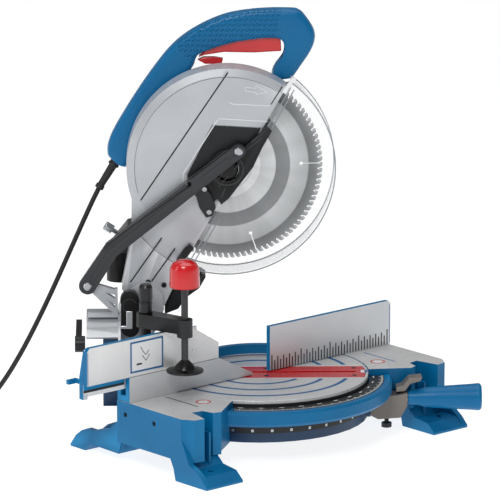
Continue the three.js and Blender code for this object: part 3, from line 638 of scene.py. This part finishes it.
def blade_steel():
    """Ground steel in rings about the blade's axis, their greys partly painted reflection, with bright and dull
    sectors of painted sheen.
    """
    material = bpy.data.materials.new("blade_steel")
    material.use_nodes = True
    nodes, links = material.node_tree.nodes, material.node_tree.links
    shader = nodes["Principled BSDF"]
    shader.inputs["Metallic"].default_value = 0.75
    place = nodes.new("ShaderNodeTexCoord")
    centre = nodes.new("ShaderNodeVectorMath")
    centre.operation = "SUBTRACT"
    centre.inputs[1].default_value = saw(0, *HUB)
    links.new(place.outputs["Object"], centre.inputs[0])
    away = nodes.new("ShaderNodeVectorMath")
    away.operation = "LENGTH"
    links.new(centre.outputs["Vector"], away.inputs[0])
    share = nodes.new("ShaderNodeMath")
    share.operation = "DIVIDE"
    share.inputs[1].default_value = BLADE_R * MM
    links.new(away.outputs["Value"], share.inputs[0])
    rings = nodes.new("ShaderNodeValToRGB")
    rings.color_ramp.interpolation = "LINEAR"
    # Greys by distance from the hub, read off the blade: its ground rings, and in the dark and bright bands partly
    # painted reflection.
    shades = [(0.0, 240), (0.345, 232), (0.355, 205), (0.505, 214), (0.515, 118), (0.655, 130),
              (0.665, 202), (0.845, 176), (0.86, 96), (0.93, 118), (1.0, 170)]
    while len(rings.color_ramp.elements) < len(shades):
        rings.color_ramp.elements.new(0.5)
    for stop, (position, grey) in zip(rings.color_ramp.elements, shades):
        stop.position = position
        stop.color = linear(grey, grey + 2, grey + 4)
    links.new(share.outputs["Value"], rings.inputs["Fac"])
    heading = nodes.new("ShaderNodeVectorMath")
    heading.operation = "NORMALIZE"
    links.new(centre.outputs["Vector"], heading.inputs[0])
    # Bright and dull sectors round the hub: painted sheen, standing in for the steel's directional reflection.
    sheen_sector = nodes.new("ShaderNodeTexNoise")
    sheen_sector.inputs["Scale"].default_value = 2.2
    sheen_sector.inputs["Detail"].default_value = 2
    links.new(heading.outputs["Vector"], sheen_sector.inputs["Vector"])
    painted_sheen = nodes.new("ShaderNodeMapRange")
    painted_sheen.inputs["From Min"].default_value = 0.35
    painted_sheen.inputs["From Max"].default_value = 0.65
    painted_sheen.inputs["To Min"].default_value = 0.72
    painted_sheen.inputs["To Max"].default_value = 1.08
    links.new(sheen_sector.outputs["Fac"], painted_sheen.inputs["Value"])
    mixed = nodes.new("ShaderNodeVectorMath")
    mixed.operation = "SCALE"
    links.new(rings.outputs["Color"], mixed.inputs[0])
    links.new(painted_sheen.outputs["Result"], mixed.inputs["Scale"])
    links.new(mixed.outputs["Vector"], shader.inputs["Base Color"])
    turned = nodes.new("ShaderNodeTexNoise")
    turned.noise_dimensions = "1D"
    turned.inputs["Scale"].default_value = 260
    links.new(share.outputs["Value"], turned.inputs["W"])
    gloss = nodes.new("ShaderNodeMapRange")
    gloss.inputs["To Min"].default_value = 0.22
    gloss.inputs["To Max"].default_value = 0.42
    links.new(turned.outputs["Fac"], gloss.inputs["Value"])
    links.new(gloss.outputs["Result"], shader.inputs["Roughness"])
    relief = nodes.new("ShaderNodeBump")
    relief.inputs["Strength"].default_value = 0.12
    relief.inputs["Distance"].default_value = 0.0002
    links.new(turned.outputs["Fac"], relief.inputs["Height"])
    links.new(relief.outputs["Normal"], shader.inputs["Normal"])
    return material


def make_blade():
    """The disc with fine teeth, deep gullets and keyhole slots that let the rim grow when hot."""
    FINISHES["blade_steel"] = blade_steel()
    rim = []
    pitch = 360 / TEETH
    for i in range(TEETH):
        start = i * pitch
        rim.append(round_hub(start, BLADE_R))
        if i % (TEETH // SLOTS) == 0:
            root = start + 0.20 * pitch
            thin = 0.32  # half the slot's width, in degrees at the rim
            rim.append(round_hub(root - thin, BLADE_R - 7))
            rim.append(round_hub(root - thin, BLADE_R - 26))
            hole = round_hub(root, BLADE_R - 28.5)
            rim += [(hole[0] + KEYHOLE_R * math.cos(math.radians(root + a)),
                     hole[1] + KEYHOLE_R * math.sin(math.radians(root + a)))
                    for a in range(-25, -336, -31)]
            rim.append(round_hub(root + thin, BLADE_R - 26))
            rim.append(round_hub(root + thin, BLADE_R - 7))
        else:
            rim.append(round_hub(start + 0.06 * pitch, BLADE_R - 5.5))
            rim.append(round_hub(start + 0.22 * pitch, BLADE_R - 7.2))
            rim.append(round_hub(start + 0.42 * pitch, BLADE_R - 5.2))
        rim.append(round_hub(start + 0.62 * pitch, BLADE_R - 1.2))
    bore = circle(HUB, 8.4, 24)
    blade = slab("saw_blade", [rim, bore], -1.0, 1.0, "blade_steel", "blade", width=0)
    blade.data.set_sharp_from_angle(angle=math.radians(30))
    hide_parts("blade")
    tips = bmesh.new()
    for i in range(TEETH):
        a = i * pitch
        corners = [round_hub(a, BLADE_R), round_hub(a + 0.02, BLADE_R - 4.6),
                   round_hub(a + 1.0, BLADE_R - 4.4), round_hub(a + 1.1, BLADE_R - 0.5)]
        low = [tips.verts.new(saw(-1.35, u, z)) for u, z in corners]
        high = [tips.verts.new(saw(1.35, u, z)) for u, z in corners]
        tips.faces.new(low)
        tips.faces.new(high)
        for k in range(4):
            tips.faces.new((low[k], low[(k + 1) % 4], high[(k + 1) % 4], high[k]))
    bmesh.ops.recalc_face_normals(tips, faces=tips.faces)
    mesh = bpy.data.meshes.new("carbide_tips")
    tips.to_mesh(mesh)
    tips.free()
    link("carbide_tips", mesh, "plain_steel", "blade")
    for name, r0, r1 in (("blade_ring_inner", 33.0, 34.0), ("blade_ring_outer", 64.5, 65.3)):
        slab(name, [circle(HUB, r1, 64), circle(HUB, r0, 64)], -1.12, -0.9, "plain_steel", "blade", width=0)


make_blade()


# ---------------------------------------------------------------- handle
HANDLE_LEFT, HANDLE_RIGHT = 28.5, 58.5
SEAM = (HANDLE_LEFT + HANDLE_RIGHT) / 2
TRIGGER_ROOM = [(-84.5, 500), (-80.5, 520.5), (-38, 537), (36.5, 544), (36.5, 504)]


def grip_plastic():
    """Blue moulded plastic with a field of small raised points where the hand holds it."""
    material = shaded("grip_plastic", linear(0, 108, 160), linear(0, 92, 142), 0.38, bump=0.2, coat=0.08,
                      specular=0.25)
    nodes, links = material.node_tree.nodes, material.node_tree.links
    shader = nodes["Principled BSDF"]
    place = nodes.new("ShaderNodeTexCoord")
    lattice = nodes.new("ShaderNodeMapping")
    lattice.inputs["Rotation"].default_value = (0, math.radians(45), -math.radians(40))
    lattice.inputs["Scale"].default_value = (270, 270, 270)
    links.new(place.outputs["Object"], lattice.inputs["Vector"])
    points = nodes.new("ShaderNodeTexVoronoi")
    points.inputs["Randomness"].default_value = 0.05
    points.inputs["Scale"].default_value = 1.0
    links.new(lattice.outputs["Vector"], points.inputs["Vector"])
    raised = nodes.new("ShaderNodeMapRange")
    raised.inputs["From Min"].default_value = 0.45
    raised.inputs["From Max"].default_value = 0.15
    links.new(points.outputs["Distance"], raised.inputs["Value"])
    split = nodes.new("ShaderNodeVectorMath")
    split.operation = "DISTANCE"
    split.inputs[1].default_value = saw(SEAM, -45, 562)
    links.new(place.outputs["Object"], split.inputs[0])
    field = nodes.new("ShaderNodeMapRange")
    field.inputs["From Min"].default_value = 0.078
    field.inputs["From Max"].default_value = 0.072
    links.new(split.outputs["Value"], field.inputs["Value"])
    height = nodes.new("ShaderNodeMath")
    height.operation = "MULTIPLY"
    links.new(raised.outputs["Result"], height.inputs[0])
    links.new(field.outputs["Result"], height.inputs[1])
    relief = nodes.new("ShaderNodeBump")
    relief.inputs["Strength"].default_value = 0.8
    relief.inputs["Distance"].default_value = 0.0022
    links.new(height.outputs["Value"], relief.inputs["Height"])
    old = shader.inputs["Normal"].links[0].from_node
    links.new(relief.outputs["Normal"], old.inputs["Normal"])
    return material


def rounded_shell(node):
    """A handle shell with its outer edges worn round, and its seam left true."""
    mesh = frame["nodes"][node].data.copy()
    source = bpy.data.objects.new("shell", mesh)
    scene.collection.objects.link(source)
    grid = source.modifiers.new("grid", "REMESH")
    grid.mode = "VOXEL"
    grid.voxel_size = 0.0018
    bpy.context.view_layer.update()
    shape = source.evaluated_get(bpy.context.evaluated_depsgraph_get())
    fine = bpy.data.meshes.new_from_object(shape)
    bpy.data.objects.remove(source)
    bm = bmesh.new()
    bm.from_mesh(fine)
    seam = saw(SEAM, 0, 0)
    loose = [v for v in bm.verts if abs((v.co - seam).dot(RIGHT)) > 0.0028]
    for _ in range(40):
        bmesh.ops.smooth_vert(bm, verts=loose, factor=0.7, use_axis_x=True, use_axis_y=True, use_axis_z=True)
    bm.to_mesh(fine)
    bm.free()
    room = bpy.data.objects.new("room", thick("room", [TRIGGER_ROOM], SEAM - 9, SEAM + 9))
    scene.collection.objects.link(room)
    fine = carved(fine, [room])
    fine.name = node + "_fine"
    fine.shade_smooth()
    fine.set_sharp_from_angle(angle=math.radians(40))
    piece = link(node + "_fine", fine, SLOT_OF[node], "head")
    fine.materials.clear()
    fine.materials.append(FINISHES["grip_plastic"])
    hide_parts(node)


FINISHES["grip_plastic"] = grip_plastic()
rounded_shell("handle_shell_left")
rounded_shell("handle_shell_right")


# ---------------------------------------------------------------- marks and small details
FINISHES["ink_black"] = shaded("ink_black", linear(30, 31, 34), linear(18, 19, 21), 0.5, bump=0.05)
FINISHES["ink_white"] = shaded("ink_white", linear(236, 237, 238), linear(226, 228, 230), 0.45, bump=0.04)
FINISHES["ink_blue"] = shaded("ink_blue", linear(0, 98, 156), linear(0, 86, 142), 0.4, bump=0.05)
FINISHES["ink_red"] = shaded("ink_red", linear(206, 24, 34), linear(188, 14, 26), 0.4, bump=0.05)
FINISHES["guard_edge"] = clear_plastic()
FINISHES["guard_edge"].name = "guard_edge"
edge_shader = FINISHES["guard_edge"].node_tree.nodes["Principled BSDF"]
edge_shader.inputs["Base Color"].default_value = linear(150, 157, 162)
for socket_link in list(edge_shader.inputs["Alpha"].links):
    FINISHES["guard_edge"].node_tree.links.remove(socket_link)
edge_shader.inputs["Alpha"].default_value = 0.72


def prisms(name, shapes, low, high, slot, finish, body, place):
    """Many small flat shapes in one piece: outlines given through place, from depth low to depth high."""
    bm = bmesh.new()
    for shape in shapes:
        bottom = [bm.verts.new(place(a, b, low)) for a, b in shape]
        top = [bm.verts.new(place(a, b, high)) for a, b in shape]
        bm.faces.new(bottom)
        bm.faces.new(top)
        for k in range(len(shape)):
            j = (k + 1) % len(shape)
            bm.faces.new((bottom[k], bottom[j], top[j], top[k]))
    bmesh.ops.recalc_face_normals(bm, faces=bm.faces)
    mesh = bpy.data.meshes.new(name)
    bm.to_mesh(mesh)
    bm.free()
    piece = link(name, mesh, slot, body)
    mesh.materials[0] = FINISHES[finish]
    return piece


def on_fence(a, b, depth):
    """On the fences' front face: along, up, depth towards the operator."""
    return bench(a, -8 - depth, b)


def on_table(a, b, depth):
    return bench(a, b, TABLE_Z + depth)


def on_disc(a, b, depth):
    """On the turntable: across, forward, height over its top."""
    return saw(a, b, TABLE_Z + depth)


def on_side(a, b, depth):
    """On the upper guard's near side: forward, up, depth outwards."""
    return saw(-GUARD_X - depth, a, b)


def oblong(x0, x1, y0, y1):
    return [(x0, y0), (x1, y0), (x1, y1), (x0, y1)]


def stroke(points, w):
    """Outlines of a line of width w through the points, one for each stretch."""
    shapes = []
    for (ax, ay), (bx, by) in zip(points, points[1:]):
        along = math.hypot(bx - ax, by - ay)
        nx, ny = -(by - ay) / along * w / 2, (bx - ax) / along * w / 2
        shapes.append([(ax + nx, ay + ny), (ax - nx, ay - ny), (bx - nx, by - ny), (bx + nx, by + ny)])
    return shapes


def ring_strokes(cx, cy, r0, r1, steps=36, start=0, end=360):
    inner, outer = arc((cx, cy), r0, start, end, steps), arc((cx, cy), r1, start, end, steps)
    return [[inner[i], outer[i], outer[i + 1], inner[i + 1]] for i in range(steps)]


INK = 0.12  # how far a printed mark stands out


def beside(x, outward=1):
    """Where side-view shapes go when they lie at that x, with their depth running outward from it."""
    def place(a, b, depth):
        return saw(x + outward * depth, a, b)
    return place


def on_scale(a, b, depth):
    return bench(a, b, SCALE_Z + depth)


def under_disc(a, b, depth):
    return saw(a, -b, depth)


def on_disc_forward(a, b, depth):
    return on_disc(a, -b, depth)


def make_fence_marks():
    """Ruler ticks on the tall fence; the label and rail of the sliding fence, and blue strips at the fences' ends.
    """
    ticks = []
    first, spacing = 17.0, 5.25
    for i in range(41):
        tall = 21 if i % 10 == 0 else 18 if i % 2 == 0 else 13
        x = first + spacing * i
        ticks.append(oblong(x - 0.95, x + 0.95, TABLE_Z + 1.2, TABLE_Z + 1.2 + tall))
    prisms("fence_ruler", ticks, -0.05, INK, "scale_plate", "ink_black", "base", on_fence)
    panel = [(-229.5, 124.5), (-173.5, 124.5), (-173.5, 166.5), (-229.5, 166.5)]
    prisms("label_border", [panel], -0.05, INK, "blue_enamel", "ink_blue", "fence", on_fence)
    prisms("label_face", [oblong(-227, -176, 127, 164)], INK, 2 * INK, "cast_silver", "ink_white",
           "fence", on_fence)
    picture = stroke([(-212, 158), (-207, 150), (-203, 146), (-198, 152)], 0.9)
    picture += stroke([(-209, 146), (-203, 138), (-197, 146)], 0.9) + [oblong(-219, -210, 134, 136.4)]
    prisms("label_picture", picture, 2 * INK, 3 * INK, "scale_plate", "ink_black", "fence", on_fence)
    # The dark strip between the blue band and the lip is painted shadow in the rail's recess; nothing is cut
    # there.
    rail_face = [("rail_blue", 112.5, 119.2, "blue_enamel", "blue_enamel"),
                 ("rail_recess_shadow", 109, 112.5, "scale_plate", "ink_black"),
                 ("rail_lip", 103.5, 109, "cast_silver", "ink_white")]
    for name, low, high, slot, finish in rail_face:
        prisms(name, [oblong(-301.5, -233, low, high)], -8.95, -8.4, slot, finish, "fence", on_fence)
    for i, x in enumerate((-300.5, 232.0)):
        body = "fence" if i == 0 else "base"
        low, high = (121, 165) if i == 0 else (TABLE_Z + 3, 141)
        prisms("fence_edge_%d" % i, [oblong(x - 1, x, low, high)], -0.05, INK, "blue_enamel", "ink_blue",
               body, on_fence)


def make_table_marks():
    """Plain rings, lines and end screws on the tables."""
    rings = ring_strokes(-154, -66, 8.2, 10.2) + ring_strokes(157, -65, 8.2, 10.2)
    prisms("table_rings", rings, -0.05, INK, "red_plastic", "ink_red", "base", on_table)
    inner = ring_strokes(-154, -66, 2.6, 5.6) + ring_strokes(157, -65, 2.6, 5.6)
    prisms("table_ring_centres", inner, -0.05, INK, "cast_silver", "ink_white", "base", on_table)
    prisms("left_table_line", [oblong(-176, -174, -80, -15)], -0.05, INK, "scale_plate", "ink_black",
           "base", on_table)
    prisms("right_table_line", [oblong(174, 176, -81, -18)], -0.05, INK, "blue_enamel", "ink_blue",
           "base", on_table)
    screw = [(0, 0), (3.4, 0), (3.4, 4.2), (1.8, 4.2), (1.8, 2.6), (0, 2.6)]
    for side in (-1, 1):
        for i, y in enumerate((0, -58)):
            lathe("end_screw_%d_%d" % (side > 0, i), screw, bench(side * 226.5, y, 68), (side, 0, 0),
                  "black_steel", "base", steps=20)


def make_scale_marks():
    """Degree ticks and blank figures on the mitre scale, and the detent ring under the turntable."""
    ticks, notches = [], []
    for degree in range(-52, 53):
        a = math.radians(-90 + degree)
        r0 = 161.0 if degree % 5 == 0 else 164.0
        half = 0.55
        along, across = (math.cos(a), math.sin(a)), (-math.sin(a) * half, math.cos(a) * half)
        ticks.append([(r * along[0] + s * across[0], r * along[1] + s * across[1])
                      for r, s in ((r0, 1), (r0, -1), (TICK_END_R, -1), (TICK_END_R, 1))])
    prisms("scale_ticks", ticks, -0.05, INK, "cast_silver", "ink_white", "base", on_scale)
    beads = [ring_strokes(0, 0, 153.2, 155.0, 6, -90 + d - 1.2, -90 + d + 1.2) for d in range(-50, 51, 10)]
    figures = [shape for bead in beads for shape in bead]
    prisms("scale_figures", figures, -0.05, INK, "cast_silver", "ink_white", "base", on_scale)
    strip = ring_strokes(0, 0, 147.05, 148.2, 60, -230, -90 + 20)
    prisms("detent_strip", strip, 41, 50, "black_steel", "ink_black", "turntable", under_disc)
    for i in range(-225, -75, 10):
        notches += ring_strokes(0, 0, 148.2, 148.6, 1, i, i + 1.3)
    prisms("detent_notches", notches, 43, 46.5, "plain_steel", "plain_steel", "turntable", under_disc)


def make_disc_marks():
    """Screws and kerf marker of the red insert, the turntable's rings, and a black band of painted shadow in the
    gap round its rim.
    """
    screw = [(0, 0), (3.2, 0), (3.2, 0.25), (2.6, 0.4), (0, 0.4)]
    for i, (x, u) in enumerate(((-19, 128), (19, 128), (-19, 10), (19, 10))):
        lathe("insert_screw_%d" % i, screw, saw(x, u, TABLE_Z), UP, "black_steel", "turntable", steps=20)
    bands = []
    for r in (61, 91, 121):
        gap = math.degrees(math.asin(36 / r))  # the rings stop short of the insert
        for start in (gap - 90, gap + 90):
            bands += ring_strokes(0, 0, r - 2.7, r + 2.7, 40, start, start + 180 - 2 * gap)
    prisms("disc_rings", bands, -0.05, INK, "blue_enamel", "ink_blue", "turntable", on_disc_forward)
    # Black band on the turntable's rim: painted shadow in the gap between the turntable and the base.
    gap_shadow_band = ring_strokes(0, 0, 147.05, 147.5, 96)
    prisms("rim_gap_shadow", gap_shadow_band, -17, -4.2, "scale_plate", "ink_black", "turntable", on_disc)
    prisms("kerf_marker", [oblong(-5, 7, 137, 142)], -0.05, INK, "cast_silver", "ink_white",
           "turntable", on_disc)
    prisms("kerf_marker_edge", [oblong(-5, 7, 142, 146)], -0.05, INK, "blue_enamel", "ink_blue",
           "turntable", on_disc)


def make_guard_marks():
    """Raised lines, a plain direction arrow and the screws of the upper guard and neck, with dark strips of
    painted shade in its grooves, in its slit and along its rim's chamfer.
    """
    lines = stroke([(-39, 458), (-35, 455.5), (14, 453)], 1.3)
    lines += stroke([(-56, 432), (-52, 436), (11, 432)], 1.5)
    lines += stroke([(-56, 432), (-100, 362), (-100, 348)], 1.5)
    prisms("guard_ridges", lines, -0.1, 0.5, "cast_silver", "cast_silver", "head", on_side)
    arrow = [(-18, 478), (-4, 476.6), (-4, 480.5), (11, 471.5), (-4, 468), (-4, 471.2), (-18, 473)]
    outline = stroke(arrow + arrow[:1], 0.9)
    prisms("turn_arrow", outline, -0.1, 0.35, "cast_silver", "cast_silver", "head", on_side)
    # The slit is not cut: a black strip of painted shadow stands for it.
    slit = stroke([(16, 455), (31, 479)], 1.4)
    prisms("guard_slit_shadow", slit, -0.05, INK, "black_steel", "ink_black", "head", on_side)
    # Dark line along the inner edge of the rim's chamfer: painted shade in the crease.
    bands = ring_strokes(HUB[0], HUB[1], 121.9, 122.3, 60, 56, 196)
    prisms("rim_crease_shade", bands, -0.05, 0.3, "cast_silver", "scale_plate", "head", on_side)
    # Dark strips set into the cast grooves: painted shade in them.
    grooves = [[(-41, 497.5), (-156, 326.5)], [(-128.5, 275), (-170, 215)], [(-111, 260.5), (-142, 216)]]
    for i, groove_shadow in enumerate(grooves):
        prisms("groove_%d" % i, stroke(groove_shadow, 1.7), -0.95, -0.45, "black_steel", "ink_black",
               "head", on_side)
    edge = stroke([(-168, 268), (-181, 209)], 2.2)
    prisms("neck_edge", edge, -0.1, 0.9, "cast_silver", "cast_silver", "head", on_side)
    screw = [(0, 0), (3.6, 0), (3.6, 1.6), (2.9, 2.4), (1.5, 2.4), (1.5, 1.2), (0, 1.2)]
    for i, (u, z) in enumerate(((-147, 215), (-126, 211), (-72, 343), (-66, 312))):
        out, slot = (GUARD_X, "black_steel") if i < 2 else (29.5, "plain_steel")
        lathe("neck_screw_%d" % i, screw, saw(-out, u, z), -RIGHT, slot, "head", steps=20)


def make_clear_guard_lines():
    """Rim and straight-edge ribs of the clear guard, and the stop block at its upper corner."""
    chord, lean, r = 18.0, -29.6, 143.4
    half = math.degrees(math.acos(chord / r))
    for side, x in enumerate((-26.3, 25.2)):
        rim = ring_strokes(HUB[0], HUB[1], r - 1.2, r + 0.4, 90, lean - half, lean + half)
        prisms("clear_rim_%d" % side, rim, 0, 1.1, "clear_plastic", "guard_edge", "guard", beside(x))
    ends = [round_hub(lean + half * s, r - 1) for s in (1, -1)]
    across = math.radians(lean)
    ribs = []
    for inset in (1.0, 6.5):
        du, dz = inset * math.cos(across), inset * math.sin(across)
        (au, az), (bu, bz) = ends
        for low, high in ((0.02, 0.36), (0.72, 0.98)):
            ribs += stroke([(au + (bu - au) * low + du, az + (bz - az) * low + dz),
                            (au + (bu - au) * high + du, az + (bz - az) * high + dz)], 1.5)
    prisms("clear_ribs", ribs, 0, 1.0, "clear_plastic", "guard_edge", "guard", beside(-27.0))
    block = [(31, 472), (44, 492), (49, 489), (37, 468)]
    prisms("guard_stop_block", [block], 0, 8, "cast_silver", "ink_white", "guard", beside(-26.1))


def make_linkage_details():
    """Ridges of the link bar, lines of the guard's hub and the ridge of the bevel bracket."""
    near = beside(-38, -1)
    bend = (-196, 262)
    # In black_steel, whose lighter sharp edges are partly painted highlight.
    ridge = stroke([(-222, 222), bend], 5.0) + stroke([bend, (-110, 330)], 5.0)
    ridge += stroke([(-76, 357), (-40, 385)], 5.0)
    prisms("link_ridge", ridge, -0.1, 1.2, "black_steel", "black_steel", "link", near)
    edges = stroke([(-186, 259), (-34, 380)], 1.0) + stroke([(-203, 272), (-112, 344), (-42, 398)], 1.0)
    prisms("link_edges", edges, -0.1, 0.5, "black_steel", "black_steel", "link", near)
    marks = ring_strokes(HUB[0], HUB[1], 20.5, 22.0)
    for line, width in (([(-58, 352), (-28, 386)], 1.2), ([(-53, 347), (-23, 381)], 1.2),
                        ([(-10, 406), (8, 421)], 1.4), ([(-16, 396), (4, 412)], 1.4),
                        ([(-50, 332), (-44, 345)], 1.4)):
        marks += stroke(line, width)
    prisms("hub_ridges", marks, -0.1, 0.15, "black_plastic", "black_steel", "guard", beside(-30.8, -1))
    rib = ring_strokes(-171.5, 189, 8.5, 9.5, 20, 20, 250)
    prisms("bracket_ridges", rib, -0.1, 0.8, "black_plastic", "black_steel", "tilt", beside(-46, -1))


make_fence_marks()
make_table_marks()
make_scale_marks()
make_disc_marks()
make_guard_marks()
make_clear_guard_lines()
make_linkage_details()

# ---------------------------------------------------------------- what is left of the CAD nodes
for node, cad in frame["nodes"].items():
    if not cad.hide_render:
        cad.data.materials.clear()
        cad.data.materials.append(FINISHES[SLOT_OF[node]])
